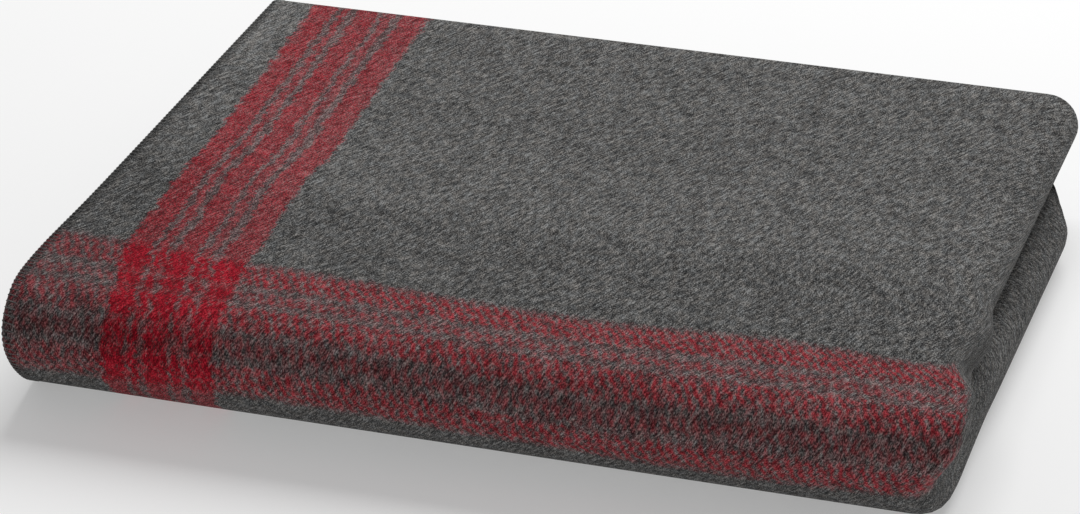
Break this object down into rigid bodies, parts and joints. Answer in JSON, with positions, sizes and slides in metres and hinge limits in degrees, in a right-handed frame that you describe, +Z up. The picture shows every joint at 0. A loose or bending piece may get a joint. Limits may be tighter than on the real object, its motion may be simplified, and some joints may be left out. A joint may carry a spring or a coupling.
{
  "type": "camp blanket",
  "caption": "Folded wool camp blanket with woven-in stripe bands; the stack opens at its front fold, and it lies flat on its underside",
  "frame": {"origin": "middle of the stack's underside, on the surface it lies on", "axes": "+X along the long side towards the right fold, +Y from the front fold to the back, +Z up"},
  "size_m": [0.508, 0.3898, 0.0727],
  "materials": {
    "wool": "felted and napped grey heather wool with woven-in red stripe bands",
    "stitch_yarn": "dark wool overlock yarn"
  },
  "bodies": {
    "lower_half": {"lower_ply_1": "wool", "lower_ply_2": "wool", "lower_ply_3": "wool", "lower_ply_4": "wool", "lower_ply_5": "wool", "lower_ply_6": "wool", "lower_ply_7": "wool", "lower_ply_8": "wool", "lower_front_fold_1": "wool", "lower_front_fold_2": "wool", "lower_front_fold_3": "wool", "lower_front_fold_4": "wool", "lower_front_fold_5": "wool", "lower_front_fold_6": "wool", "lower_front_fold_7": "wool", "lower_front_fold_8": "wool", "lower_right_fold_1": "wool", "lower_right_fold_2": "wool", "lower_right_fold_3": "wool", "lower_right_fold_4": "wool", "lower_left_fold_1": "wool", "lower_left_fold_2": "wool", "lower_end_stitch_1": "stitch_yarn", "lower_end_stitch_2": "stitch_yarn", "lower_end_stitch_3": "stitch_yarn", "lower_end_stitch_4": "stitch_yarn"},
    "upper_half": {"upper_ply_1": "wool", "upper_ply_2": "wool", "upper_ply_3": "wool", "upper_ply_4": "wool", "upper_ply_5": "wool", "upper_ply_6": "wool", "upper_ply_7": "wool", "upper_ply_8": "wool", "upper_front_fold_1": "wool", "upper_front_fold_2": "wool", "upper_front_fold_3": "wool", "upper_front_fold_4": "wool", "upper_front_fold_5": "wool", "upper_front_fold_6": "wool", "upper_front_fold_7": "wool", "upper_front_fold_8": "wool", "upper_right_fold_1": "wool", "upper_right_fold_2": "wool", "upper_right_fold_3": "wool", "upper_right_fold_4": "wool", "upper_left_fold_1": "wool", "upper_left_fold_2": "wool", "upper_end_stitch_1": "stitch_yarn", "upper_end_stitch_2": "stitch_yarn", "upper_end_stitch_3": "stitch_yarn", "upper_end_stitch_4": "stitch_yarn", "back_fold_1": "wool", "back_fold_2": "wool", "back_fold_3": "wool", "back_fold_4": "wool"}
  },
  "joints": [
    {"name": "unfold", "type": "hinge", "parent": "lower_half", "child": "upper_half", "pos_m": [0, -0.15852, 0.03635], "axis": [1, 0, 0], "range_deg": [0, 180], "deforming": ["lower_front_fold_1", "lower_front_fold_2", "lower_front_fold_3", "lower_front_fold_4", "lower_front_fold_5", "lower_front_fold_6", "lower_front_fold_7", "lower_front_fold_8", "lower_right_fold_1", "lower_right_fold_2", "lower_right_fold_3", "lower_right_fold_4", "lower_left_fold_1", "lower_left_fold_2", "lower_end_stitch_1", "lower_end_stitch_2", "lower_end_stitch_3", "lower_end_stitch_4", "upper_front_fold_1", "upper_front_fold_2", "upper_front_fold_3", "upper_front_fold_4", "upper_front_fold_5", "upper_front_fold_6", "upper_front_fold_7", "upper_front_fold_8", "upper_right_fold_1", "upper_right_fold_2", "upper_right_fold_3", "upper_right_fold_4", "upper_left_fold_1", "upper_left_fold_2", "upper_end_stitch_1", "upper_end_stitch_2", "upper_end_stitch_3", "upper_end_stitch_4"]}
  ]
}
